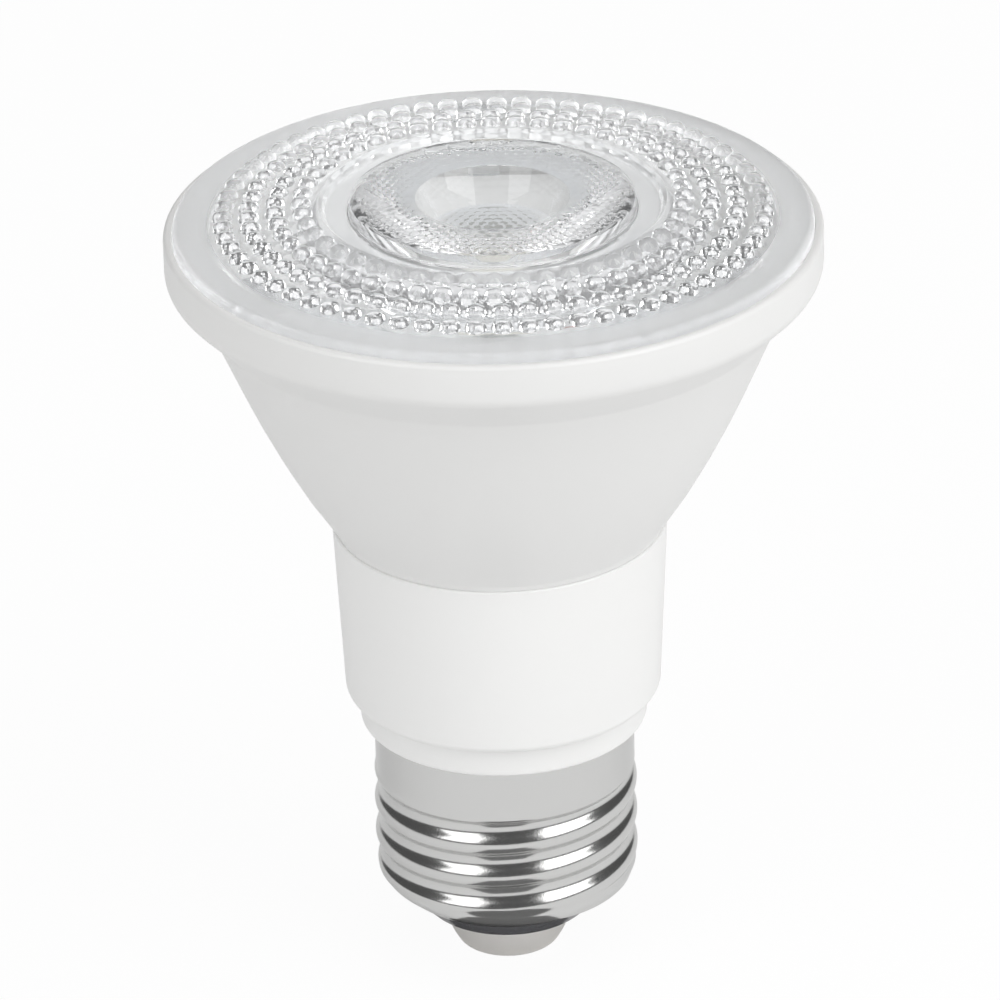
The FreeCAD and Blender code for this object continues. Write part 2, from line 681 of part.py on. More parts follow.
def make_light_source():
    body = sub_part("led_package")
    level = "sink_top_level + led_board_thickness"
    half = "led_package_width / 2"
    sketch = sketch_on(body, "led_package_plan", "XY_Plane", level)
    rectangle(sketch, "-" + half, "-" + half, half, half)
    extrude(body, sketch, "led_package_plate", "led_package_height")
    body = sub_part("led_phosphor")
    sketch = sketch_on(body, "led_phosphor_plan", "XY_Plane", level + " + led_package_height")
    circle(sketch, "0", "0", "phosphor_radius")
    extrude(body, sketch, "led_phosphor_disc", "phosphor_height")


def make_board_screws():
    """Two pan-head screws through the board into the heat sink."""
    screws = []
    for name, side in (("near", "-"), ("far", "")):
        head = document.addObject("Part::Cylinder", name + "_head")
        shank = document.addObject("Part::Cylinder", name + "_shank")
        head.setExpression("Radius", bound("screw_head_radius"))
        head.setExpression("Height", bound("screw_head_height"))
        shank.setExpression("Radius", bound("screw_shank_radius"))
        shank.setExpression("Height", bound("screw_shank_length"))
        seat = "sink_top_level + led_board_thickness"
        head.setExpression(".Placement.Base.y", bound(side + "screw_distance"))
        head.setExpression(".Placement.Base.z", bound(seat))
        shank.setExpression(".Placement.Base.y", bound(side + "screw_distance"))
        shank.setExpression(".Placement.Base.z", bound(seat + " - screw_shank_length"))
        screw = document.addObject("Part::Fuse", name + "_screw")
        screw.Base = head
        screw.Tool = shank
        screws.append(screw)
    group = document.addObject("Part::Compound", "board_screws")
    group.Label = "board_screws"
    group.Links = screws
    document.recompute()
    SUB_PARTS.append(group)


# Driver


def make_driver_board():
    body = sub_part("driver_board")
    sketch = sketch_on(body, "driver_board_face", offset="wire_radius")
    outline(sketch, [
        ("-board_half_tongue", "board_bottom_level"),
        ("board_half_tongue", "board_bottom_level"),
        ("board_half_tongue", "board_shoulder_level"),
        ("board_half_width", "board_shoulder_level"),
        ("board_half_width", "board_top_level"),
        ("-board_half_width", "board_top_level"),
        ("-board_half_width", "board_shoulder_level"),
        ("-board_half_tongue", "board_shoulder_level"),
    ])
    extrude(body, sketch, "driver_board_plate", "board_thickness")


def make_board_blocks():
    """Square-cornered parts: the film capacitor on the +Y face of the driver
    board, the rectifier, the chip and the diode on its -Y face."""
    body = block_on_board("film_capacitor", "film_offset", "film_offset + film_width",
                          "film_level", "film_level + film_height", "film_depth", "front")
    block = body.Tip
    outward = [
        "Edge%d" % (place + 1)
        for place, edge in enumerate(block.Shape.Edges)
        if abs(edge.Vertexes[0].Y - edge.Vertexes[-1].Y) > number("film_depth") / 2
    ]
    bevel = body.newObject("PartDesign::Chamfer", "film_bevel")
    bevel.Base = (block, outward)
    bevel.setExpression("Size", bound("film_edge"))
    document.recompute()
    for label, name in (("bridge_rectifier", "bridge"), ("output_diode", "diode")):
        block_on_board(label, "-%s_width / 2" % name, "%s_width / 2" % name, name + "_level",
                       "%s_level + %s_height" % (name, name), name + "_depth", "back")
    body = block_on_board("controller_chip", "-chip_width / 2", "chip_width / 2", "chip_level",
                          "chip_level + chip_height", "chip_depth", "back")
    sketch = sketch_on(body, "chip_lead_face", offset="wire_radius + board_thickness")
    low = "chip_level + chip_height / 2 - 1.5 * chip_lead_spacing - chip_lead_width / 2"
    reach = "chip_width / 2 + chip_lead_reach"
    rectangle(sketch, "-(%s)" % reach, low, reach, low + " + chip_lead_width")
    leads = extrude(body, sketch, "chip_leads", "chip_lead_depth")
    rows = body.newObject("PartDesign::LinearPattern", "chip_lead_rows")
    rows.Originals = [leads]
    rows.Direction = (sketch, ["V_Axis"])
    rows.setExpression("Length", bound("3 * chip_lead_spacing"))
    rows.Occurrences = 4
    body.Tip = rows
    document.recompute()


def round_part(label, across, level, radius, steps, along):
    """A part turned about its own axis and laid on the driver board: along
    the board's height or square to its face."""
    body = turned(label, steps)
    if along == "up":
        places = (across, radius + " - wire_radius", level)
    else:
        places = (across, "-wire_radius", level)
        body.Placement = FreeCAD.Placement(
            FreeCAD.Vector(), FreeCAD.Rotation(FreeCAD.Vector(1, 0, 0), -90)
        )
    for axis, place in zip("xyz", places):
        body.setExpression(".Placement.Base." + axis, bound(place))
    document.recompute()


def make_round_parts():
    """The capacitor can and the fusible resistor lie along the driver board,
    the surge arrester and the inductor stand on it."""
    round_part("electrolytic_capacitor", "-capacitor_offset", "capacitor_level",
               "capacitor_radius", [
        ("0", "0"),
        ("capacitor_radius - capacitor_edge", "0"),
        ("capacitor_radius", "capacitor_edge"),
        ("capacitor_radius", "capacitor_length - capacitor_edge"),
        ("capacitor_radius - capacitor_edge", "capacitor_length"),
        ("0", "capacitor_length"),
    ], "up")
    cap = "fuse_length / 5"
    round_part("fuse_resistor", "-fuse_offset", "fuse_level", "fuse_radius", [
        ("0", "0"),
        ("fuse_radius", "0"),
        ("fuse_radius", cap),
        ("fuse_waist_radius", cap),
        ("fuse_waist_radius", "fuse_length - " + cap),
        ("fuse_radius", "fuse_length - " + cap),
        ("fuse_radius", "fuse_length"),
        ("0", "fuse_length"),
    ], "up")
    round_part("varistor", "varistor_offset", "varistor_level", "varistor_radius", [
        ("0", "0"),
        ("varistor_radius", "0"),
        ("varistor_radius", "varistor_depth"),
        ("0", "varistor_depth"),
    ], "out")
    far = "inductor_length - inductor_flange"
    round_part("inductor_core", "inductor_offset", "inductor_level", "inductor_radius", [
        ("0", "0"),
        ("inductor_radius", "0"),
        ("inductor_radius", "inductor_flange"),
        ("inductor_waist_radius", "inductor_flange"),
        ("inductor_waist_radius", far),
        ("inductor_radius", far),
        ("inductor_radius", "inductor_length"),
        ("0", "inductor_length"),
    ], "out")
    round_part("inductor_winding", "inductor_offset", "inductor_level", "inductor_radius", [
        ("inductor_waist_radius", "inductor_flange"),
        ("inductor_winding_radius", "inductor_flange"),
        ("inductor_winding_radius", far),
        ("inductor_waist_radius", far),
    ], "out")


# Wires


def make_wire(label, route, behind):
    """A round wire along its route, in an upright plane behind the axis."""
    body = sub_part(label)
    path = outline(sketch_on(body, label + "_route", offset=behind), route, closed=False)
    section = sketch_on(body, label + "_section", "XY_Plane", route[0][1])
    circle(section, route[0][0], "-" + behind if behind != "0" else "0", "wire_radius")
    pipe = body.newObject("PartDesign::AdditivePipe", label + "_pipe")
    pipe.Profile = section
    pipe.Spine = (path, ["Edge%d" % (place + 1) for place in range(len(route) - 1)])
    document.recompute()


def make_wires():
    """The line wire runs straight up the lamp's axis and along the driver
    board. The neutral wire leaves the screw shell and bends in to the board's
    other face. Two more run from the board through the heat sink."""
    make_wire("ac_line_wire", [
        ("0", "contact_wall"),
        ("0", "line_top_level"),
    ], "0")
    behind = "(2 * wire_radius + board_thickness)"
    wall = "sqrt((thread_root_radius - shell_wall - wire_radius)^2 - %s^2)" % behind
    shift = "(%s - neutral_board_offset)" % wall
    radius = "(%s^2 + neutral_bend_height^2) / (4 * %s)" % (shift, shift)
    make_wire("ac_neutral_wire", [
        ("-" + wall, "neutral_bottom_level"),
        ("-" + wall, "neutral_bend_level"),
        (
            "-%s + %s / 2" % (wall, shift),
            "neutral_bend_level + neutral_bend_height / 2",
            radius,
            "right",
        ),
        (
            "-neutral_board_offset",
            "neutral_bend_level + neutral_bend_height",
            radius,
            "left",
        ),
        ("-neutral_board_offset", "neutral_top_level"),
    ], behind)
    top = "sink_top_level + led_board_thickness + light_wire_end"
    for label, side in (("dc_positive_wire", ""), ("dc_negative_wire", "-")):
        make_wire(label, [
            (side + "light_wire_offset", "light_wire_bottom_level"),
            (side + "light_wire_offset", top),
        ], "0")


SECTIONS = (
    make_centre_contact,
    make_base_insulator,
    make_screw_shell,
    make_neck,
    make_reflector_housing,
    make_front_lens,
    make_heat_sink,
    make_led_board,
    make_light_source,
    make_board_screws,
    make_driver_board,
    make_board_blocks,
    make_round_parts,
    make_wires,
)

for section in SECTIONS:
    section()

document.recompute()
for thing in document.Objects:
    if {"Invalid", "Error"} & set(thing.State):
        raise ValueError("%s is %s" % (thing.Label, thing.State))
os.makedirs("parts", exist_ok=True)
for body in SUB_PARTS:
    shape = body.Shape
    if shape.isNull() or not shape.isValid():
        raise ValueError(body.Label + " has no valid shape")
    shape.exportStep(os.path.join("parts", body.Label + ".step"))
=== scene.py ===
import math

import bmesh
import bpy
from bpy.props import (
    FloatProperty,
    FloatVectorProperty,
    IntProperty,
    PointerProperty,
)
from mathutils import Matrix, Quaternion, Vector


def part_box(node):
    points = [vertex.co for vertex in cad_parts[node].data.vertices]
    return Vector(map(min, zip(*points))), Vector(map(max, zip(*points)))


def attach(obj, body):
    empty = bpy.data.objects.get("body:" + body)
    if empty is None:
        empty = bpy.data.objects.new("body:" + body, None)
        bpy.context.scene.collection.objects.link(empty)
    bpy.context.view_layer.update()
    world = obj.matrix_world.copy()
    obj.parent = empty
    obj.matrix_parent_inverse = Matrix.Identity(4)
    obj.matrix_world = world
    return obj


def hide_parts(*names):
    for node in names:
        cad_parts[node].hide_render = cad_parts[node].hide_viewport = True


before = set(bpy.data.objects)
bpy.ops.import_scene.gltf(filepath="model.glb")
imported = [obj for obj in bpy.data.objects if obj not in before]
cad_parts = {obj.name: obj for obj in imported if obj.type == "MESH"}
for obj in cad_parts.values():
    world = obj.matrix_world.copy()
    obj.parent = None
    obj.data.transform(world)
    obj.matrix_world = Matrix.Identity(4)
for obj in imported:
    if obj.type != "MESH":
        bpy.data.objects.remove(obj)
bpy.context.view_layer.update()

bl_info = {
    "name": "Spotlight Bulb",
    "version": (1, 0, 0),
    "blender": (4, 5, 0),
    "location": "View3D > Sidebar > Spotlight",
    "description": "Dresses the reflector spotlight bulb and lights it for a picture",
    "category": "Object",
}

# Blender works in metres. Outlines and the classes' own sizes are in millimetres,
# and MM turns one into the other.
MM = 0.001
STEPS_ROUND = 192
ARC_STEP = math.radians(12)
SHARP_ANGLE = math.radians(34)
# How far off a rim or a wall a vertex may be and still belong to it.
NEAR = 0.01


def top_of(node):
    """Highest level of a node of the frame, in metres."""
    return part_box(node)[1].z


def radius_of(node):
    """Largest radius of a node that is turned about Z, in metres."""
    low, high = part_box(node)
    return (high.x - low.x) / 2


def linear(hex_colour):
    """An sRGB hex colour as linear red, green, blue and alpha."""
    channels = [int(hex_colour[place:place + 2], 16) / 255 for place in (1, 3, 5)]
    return tuple(
        c / 12.92 if c <= 0.04045 else ((c + 0.055) / 1.055) ** 2.4 for c in channels
    ) + (1.0,)


def length(name, description, default):
    """A size in metres that the panel shows."""
    return FloatProperty(
        name=name,
        description=description,
        default=default,
        min=0.0,
        precision=5,
        unit="LENGTH",
        subtype="DISTANCE",
    )


def colour(name, description, hex_colour):
    """A colour that the panel shows."""
    return FloatVectorProperty(
        name=name,
        description=description,
        default=linear(hex_colour),
        size=4,
        min=0.0,
        max=1.0,
        subtype="COLOR",
    )


class SpotlightSizes(bpy.types.PropertyGroup):
    """Sizes of the pieces that show."""

    thread_rounding: length("Thread rounding", "Radius of crests and grooves", 1.38 * MM)
    thread_crest: length("Thread crest", "Radius at the top of the thread", radius_of("screw_shell"))
    thread_pitch: length("Thread pitch", "Rise of one turn", 3.629 * MM)
    thread_phase: length("Thread phase", "Height of the top crest at the left side", 16.27 * MM)
    band_bottom: length("Band foot", "Lower edge of the plain band", 20.2 * MM)
    band_radius: length("Band radius", "Plain band over the thread", 12.9 * MM)
    lip_radius: length("Lip radius", "Widest part of the housing", radius_of("reflector_housing"))
    lip_top: length("Lip top", "Upper edge of the housing", top_of("reflector_housing"))
    lens_radius: length("Lens radius", "Outer edge of the lens", radius_of("front_lens"))
    bead_radius: length("Bead radius", "One bead of the lens", 1.03 * MM)
    bead_height: length("Bead height", "How far a bead stands up", 0.85 * MM)
    bead_spacing: length("Bead spacing", "Distance between beads in a ring", 2.42 * MM)
    bead_rings: IntProperty(name="Bead rings", description="Rings of beads", default=4, min=1)
    first_ring: length("First ring", "Radius of the inner ring of beads", 18.4 * MM)
    ring_step: length("Ring step", "Distance between rings of beads", 2.53 * MM)
    facet_pitch: length("Facet pitch", "Distance between honeycomb facets", 0.93 * MM)
    facet_rise: length("Facet rise", "How far a honeycomb facet bulges", 0.15 * MM)


class SpotlightColours(bpy.types.PropertyGroup):
    """Colours of the pieces that show."""

    housing: colour("Housing", "White moulded reflector housing", "#DFDFDE")
    neck: colour("Neck", "White moulded neck", "#E8E8E7")
    lens: colour("Lens", "Clear moulded lens", "#FAFBFC")
    shell: colour("Screw shell", "Plated screw shell", "#D2D2D1")
    contact: colour("Contact", "Centre contact", "#E2E0DD")
    insulator: colour("Insulator", "Dark insulator", "#58585B")


# Materials

# Where the lens grows milkier, from its middle out: the radius in millimetres
# where each change starts and ends, and the share of light that is then let through.
CLEAREST = 0.97
LENS_ZONES = (
    (13.7, 14.2, 0.68),
    (16.7, 17.3, 0.86),
    (18.5, 21.5, 0.94),
    (26.6, 27.6, 0.86),
)


def new_material(name):
    """An empty node material."""
    material = bpy.data.materials.new(name)
    material.use_nodes = True
    material.node_tree.nodes.clear()
    return material


def add_node(tree, kind, inputs=None, **settings):
    """Adds a node. Each input is given a value or another node's output."""
    node = tree.nodes.new(kind)
    for name, value in settings.items():
        setattr(node, name, value)
    for socket, value in (inputs or {}).items():
        if isinstance(value, bpy.types.NodeSocket):
            tree.links.new(value, node.inputs[socket])
        else:
            node.inputs[socket].default_value = value
    return node


def white_polymer(name, base):
    """Injection-moulded white PBT with a fine spark-eroded surface. It gives a
    soft sheen and no hard reflection. The real grain is about 0.05 mm, too fine
    to show, so it is drawn at 0.35 mm."""
    material = new_material(name)
    tree = material.node_tree
    place = add_node(tree, "ShaderNodeTexCoord")
    grain = add_node(tree, "ShaderNodeTexNoise", {
        "Vector": place.outputs["Object"], "Scale": 1 / (0.35 * MM), "Detail": 3.0,
    })
    cloud = add_node(tree, "ShaderNodeTexNoise", {
        "Vector": place.outputs["Object"], "Scale": 1 / (14 * MM), "Detail": 2.0,
    })
    tone = add_node(tree, "ShaderNodeMapRange", {
        "Value": cloud.outputs["Fac"], "To Min": 0.34, "To Max": 0.44,
    })
    bump = add_node(tree, "ShaderNodeBump", {
        "Height": grain.outputs["Fac"], "Strength": 0.12, "Distance": 0.02 * MM,
    })
    shader = add_node(tree, "ShaderNodeBsdfPrincipled", {
        "Base Color": base, "Roughness": tone.outputs["Result"], "IOR": 1.5,
        "Normal": bump.outputs["Normal"],
    })
    add_node(tree, "ShaderNodeOutputMaterial", {"Surface": shader.outputs["BSDF"]})
    return material


def clear_polymer(base):
    """Injection-moulded clear polycarbonate, polished. It shows what lies under
    it, each bead draws a bright and a dark edge, and the gutter and the flange
    look a little milky. Light on its way to other surfaces passes straight on."""
    material = new_material("polished_polycarbonate")
    tree = material.node_tree
    place = add_node(tree, "ShaderNodeTexCoord")
    haze = add_node(tree, "ShaderNodeTexNoise", {
        "Vector": place.outputs["Object"], "Scale": 1 / (6 * MM), "Detail": 2.0,
    })
    polished = add_node(tree, "ShaderNodeMapRange", {
        "Value": haze.outputs["Fac"], "To Min": 0.01, "To Max": 0.05,
    })
    parts = add_node(tree, "ShaderNodeSeparateXYZ", {0: place.outputs["Object"]})
    level = add_node(tree, "ShaderNodeCombineXYZ", {
        "X": parts.outputs["X"], "Y": parts.outputs["Y"],
    })
    off_axis = add_node(tree, "ShaderNodeVectorMath", {
        0: level.outputs["Vector"],
    }, operation="LENGTH")
    tone = add_node(tree, "ShaderNodeMapRange", {
        "Value": off_axis.outputs["Value"], "From Min": 27.2 * MM, "From Max": 27.6 * MM,
        "To Min": polished.outputs["Result"], "To Max": 0.32,
    })
    clearness = CLEAREST
    for inner, outer, share in LENS_ZONES:
        zone = add_node(tree, "ShaderNodeMapRange", {
            "Value": off_axis.outputs["Value"], "From Min": inner * MM,
            "From Max": outer * MM, "To Min": clearness, "To Max": share,
        })
        clearness = zone.outputs["Result"]
    shader = add_node(tree, "ShaderNodeBsdfPrincipled", {
        "Base Color": base, "Roughness": tone.outputs["Result"], "IOR": 1.5,
        "Transmission Weight": clearness,
    })
    path = add_node(tree, "ShaderNodeLightPath")
    lights = add_node(tree, "ShaderNodeMath", {
        0: path.outputs["Is Shadow Ray"], 1: path.outputs["Is Diffuse Ray"],
    }, operation="MAXIMUM")
    open_way = add_node(tree, "ShaderNodeBsdfTransparent", {"Color": (0.94, 0.94, 0.94, 1)})
    both = add_node(tree, "ShaderNodeMixShader", {
        0: lights.outputs[0], 1: shader.outputs["BSDF"], 2: open_way.outputs["BSDF"],
    })
    add_node(tree, "ShaderNodeOutputMaterial", {"Surface": both.outputs["Shader"]})
    return material


def plated_shell(base):
    """Rolled brass with bright nickel plating. Drawing and rolling leave fine
    streaks that fray the edges of the highlights. They are drawn 0.14 mm wide,
    a few times coarser than real ones, so that they show."""
    material = new_material("bright_nickel_plate")
    tree = material.node_tree
    place = add_node(tree, "ShaderNodeTexCoord")
    stretch = add_node(tree, "ShaderNodeMapping", {
        "Vector": place.outputs["Object"], "Scale": (1.0, 1.0, 0.12),
    })
    streaks = add_node(tree, "ShaderNodeTexNoise", {
        "Vector": stretch.outputs["Vector"], "Scale": 1 / (0.14 * MM), "Detail": 2.0,
    })
    tone = add_node(tree, "ShaderNodeMapRange", {
        "Value": streaks.outputs["Fac"], "To Min": 0.12, "To Max": 0.26,
    })
    bump = add_node(tree, "ShaderNodeBump", {
        "Height": streaks.outputs["Fac"], "Strength": 0.5, "Distance": 0.01 * MM,
    })
    shader = add_node(tree, "ShaderNodeBsdfPrincipled", {
        "Base Color": base, "Metallic": 1.0, "Roughness": tone.outputs["Result"],
        "Normal": bump.outputs["Normal"],
    })
    add_node(tree, "ShaderNodeOutputMaterial", {"Surface": shader.outputs["BSDF"]})
    return material


def satin_metal(name, base, roughness, grain):
    """Metal with a dull tumbled surface. It gives a broad, even shine. The grain
    is coarser than the real one, so that it shows."""
    material = new_material(name)
    tree = material.node_tree
    place = add_node(tree, "ShaderNodeTexCoord")
    noise = add_node(tree, "ShaderNodeTexNoise", {
        "Vector": place.outputs["Object"], "Scale": 1 / grain, "Detail": 3.0,
    })
    tone = add_node(tree, "ShaderNodeMapRange", {
        "Value": noise.outputs["Fac"], "To Min": roughness - 0.06, "To Max": roughness + 0.06,
    })
    shader = add_node(tree, "ShaderNodeBsdfPrincipled", {
        "Base Color": base, "Metallic": 1.0, "Roughness": tone.outputs["Result"],
    })
    add_node(tree, "ShaderNodeOutputMaterial", {"Surface": shader.outputs["BSDF"]})
    return material


def moulded(name, base, roughness, grain):
    """Moulded, dipped or fused material without metal in it. Its sheen is even,
    with slightly duller patches. They are coarser than real ones, so that they
    show."""
    material = new_material(name)
    tree = material.node_tree
    place = add_node(tree, "ShaderNodeTexCoord")
    noise = add_node(tree, "ShaderNodeTexNoise", {
        "Vector": place.outputs["Object"], "Scale": 1 / grain, "Detail": 3.0,
    })
    tone = add_node(tree, "ShaderNodeMapRange", {
        "Value": noise.outputs["Fac"], "To Min": roughness - 0.05, "To Max": roughness + 0.05,
    })
    shader = add_node(tree, "ShaderNodeBsdfPrincipled", {
        "Base Color": base, "Roughness": tone.outputs["Result"], "IOR": 1.5,
    })
    add_node(tree, "ShaderNodeOutputMaterial", {"Surface": shader.outputs["BSDF"]})
    return material


# Shapes


def rounded(corners, closed):
    """The outline's points. A corner is (radius, level) or (radius, level,
    rounding), in millimetres, and a rounding becomes an arc."""
    points = []
    count = len(corners)
    for index, corner in enumerate(corners):
        here = Vector(corner[:2])
        rounding = corner[2] if len(corner) > 2 else 0.0
        at_end = not closed and index in (0, count - 1)
        if not rounding or at_end:
            points.append(here)
            continue
        before = (Vector(corners[index - 1][:2]) - here).normalized()
        after = (Vector(corners[(index + 1) % count][:2]) - here).normalized()
        opening = before.angle(after)
        centre = here + (before + after).normalized() * rounding / math.sin(opening / 2)
        tangent = rounding / math.tan(opening / 2)
        start = here + before * tangent - centre
        sweep = start.angle_signed(here + after * tangent - centre)
        steps = max(2, math.ceil(abs(sweep) / ARC_STEP))
        for step in range(steps + 1):
            turn = Matrix.Rotation(-sweep * step / steps, 2)
            points.append(centre + turn @ start)
    return points


def draw_outline(shape, corners, closed):
    """Draws an outline into a bmesh, in the plane of X and Z."""
    verts = [
        shape.verts.new((point.x * MM, 0, point.y * MM)) for point in rounded(corners, closed)
    ]
    pairs = list(zip(verts, verts[1:]))
    if closed:
        pairs.append((verts[-1], verts[0]))
    return [shape.edges.new(pair) for pair in pairs]


def spin_outlines(shape, steps=STEPS_ROUND):
    """Spins everything drawn in a bmesh about the bulb's axis."""
    bmesh.ops.spin(
        shape, geom=shape.verts[:] + shape.edges[:], cent=(0, 0, 0), axis=(0, 0, 1),
        angle=2 * math.pi, steps=steps, use_merge=True,
    )
    bmesh.ops.remove_doubles(shape, verts=shape.verts, dist=MM / 1e4)
    bmesh.ops.recalc_face_normals(shape, faces=shape.faces)


def turned(corners, closed=True):
    """A bmesh of one outline spun about the bulb's axis. The outline is closed,
    or begins and ends on the axis."""
    shape = bmesh.new()
    draw_outline(shape, corners, closed)
    spin_outlines(shape)
    return shape


def across(vert):
    """Distance of a vertex from the bulb's axis."""
    return math.hypot(vert.co.x, vert.co.y)


def ease(share):
    """A share kept from 0 to 1, with soft ends."""
    share = min(1.0, max(0.0, share))
    return share * share * (3 - 2 * share)


def finish_piece(shape, name, material, slot, *nodes):
    """Makes a bmesh into a piece that stands for the given nodes of the frame."""
    mesh = bpy.data.meshes.new(name)
    shape.to_mesh(mesh)
    shape.free()
    mesh.shade_smooth()
    mesh.set_sharp_from_angle(angle=SHARP_ANGLE)
    mesh.materials.append(material)
    piece = bpy.data.objects.new(name, mesh)
    bpy.context.scene.collection.objects.link(piece)
    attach(piece, "root")
    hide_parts(*nodes)


def paint_node(node, material):
    """Gives a node of the frame its finish."""
    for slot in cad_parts[node].material_slots:
        slot.material = material


# Pieces


class MakeContact(bpy.types.Operator):
    """Make the centre contact, a small pressed cap"""

    bl_idname = "spotlight.make_contact"
    bl_label = "Centre Contact"

    def execute(self, context):
        colours = context.scene.spotlight_colours
        top = top_of("centre_contact") / MM
        rim = radius_of("centre_contact") / MM
        shape = turned([
            (0, 0), (4.95, 0, 0.9), (5.85, 1.6, 3), (rim, 3.4, 2), (rim, top - 0.02),
            (rim - 0.5, top), (5.3, 1.6, 2.5), (4.4, 0.5, 0.5), (0, 0.5),
        ], closed=False)
        metal = satin_metal("tumbled_tin_plate", colours.contact, 0.42, 0.4 * MM)
        finish_piece(shape, "contact_cap", metal, "contact_metal", "centre_contact")
        return {"FINISHED"}


class MakeInsulator(bpy.types.Operator):
    """Make the dark insulator between the contact and the screw shell"""

    bl_idname = "spotlight.make_insulator"
    bl_label = "Base Insulator"

    def execute(self, context):
        colours = context.scene.spotlight_colours
        top = top_of("base_insulator") / MM
        shape = turned([
            (0.9, 1.2), (4.4, 1.2, 0.4), (5.6, 4.5), (8.3, 4.5, 0.3), (10.3, 6.6), (11.6, 8.3),
            (11.6, top), (0.9, top),
        ])
        # Dark glass, poured and fused in place, which shows a soft reflection.
        glass = moulded("dark_vitrified_glass", colours.insulator, 0.25, 1.0 * MM)
        finish_piece(shape, "insulator_ring", glass, "black_insulator", "base_insulator")
        return {"FINISHED"}


class MakeScrewShell(bpy.types.Operator):
    """Make the screw shell with its rolled thread, which fades out at both ends"""

    bl_idname = "spotlight.make_screw_shell"
    bl_label = "Screw Shell"

    # The barrel takes the thread, and the shoulder is under it.
    BARREL_FOOT = 9.0
    BARREL_TOP = 21.0
    SHOULDER_RADIUS = 12.0
    SHOULDER_FOOT = 7.2
    SHOULDER_DIP = 0.25
    FADE_BELOW = 1.1
    FADE_ABOVE = 0.9
    BAND_OVERLAP = 0.1
    CUTS_UP = 119
    STEPS_AROUND = 256

    def execute(self, context):
        sizes = context.scene.spotlight_sizes
        colours = context.scene.spotlight_colours
        band = sizes.band_radius / MM
        top = top_of("screw_shell") / MM
        shape = bmesh.new()
        edges = draw_outline(shape, [
            (10.8, 6.85, 0.15), (12.45, 8.35, 0.8), (band, self.BARREL_FOOT),
            (band, self.BARREL_TOP), (band, top), (band - 0.4, top), (band - 0.4, 20.6),
            (11.7, 19.6), (11.7, 9.2), (11.9, 8.5), (10.6, 7.1),
        ], closed=True)
        barrel = max(edges, key=lambda edge: edge.calc_length())
        bmesh.ops.subdivide_edges(shape, edges=[barrel], cuts=self.CUTS_UP)
        spin_outlines(shape, steps=self.STEPS_AROUND)
        self.tilt_shoulder(shape)
        self.roll_thread(shape, sizes)
        metal = plated_shell(colours.shell)
        finish_piece(shape, "screw_cap", metal, "plated_metal", "screw_shell")
        return {"FINISHED"}

    def tilt_shoulder(self, shape):
        """Lowers the shoulder under the thread at the side where the ridge runs
        down to it."""
        for vert in shape.verts:
            radius = across(vert)
            under_barrel = self.SHOULDER_FOOT < vert.co.z / MM < self.BARREL_FOOT - 2 * NEAR
            if under_barrel and radius / MM > self.SHOULDER_RADIUS:
                vert.co.z -= self.SHOULDER_DIP * MM * (1 + vert.co.x / radius)

    def roll_thread(self, shape, sizes):
        """Moves the barrel in and out along the helix. The ridge fades out below,
        and the groove over the top turn runs out into the band."""
        band = sizes.band_radius
        foot = self.BARREL_FOOT * MM
        end = sizes.band_bottom + self.BAND_OVERLAP * MM
        for vert in shape.verts:
            before = across(vert)
            level = vert.co.z
            on_wall = abs(before - band) <= 2 * NEAR * MM
            if not on_wall or not foot <= level <= self.BARREL_TOP * MM:
                continue
            angle = math.atan2(vert.co.y, vert.co.x) % (2 * math.pi)
            below = ease((level - foot) / (self.FADE_BELOW * MM))
            above = ease((end - level) / (self.FADE_ABOVE * MM))
            blend = below * above
            radius = band * (1 - blend) + self.thread_radius(sizes, angle, level) * blend
            vert.co.x *= radius / before
            vert.co.y *= radius / before

    @staticmethod
    def thread_radius(sizes, angle, level):
        """The radius of the thread at an angle and a level. Crests and grooves
        have the same rounding and meet halfway down the flank."""
        crest = sizes.thread_crest
        pitch = sizes.thread_pitch
        rounding = sizes.thread_rounding
        flank = math.sqrt(rounding ** 2 - (pitch / 4) ** 2)
        root = crest - 2 * (rounding - flank)
        turn = (angle - math.pi) / (2 * math.pi)
        along = ((level - sizes.thread_phase) / pitch - turn + 0.5) % 1 - 0.5
        off_middle = min(abs(along), 0.5 - abs(along)) * pitch
        drop = rounding - math.sqrt(rounding ** 2 - off_middle ** 2)
        return crest - drop if abs(along) < 0.25 else root + drop


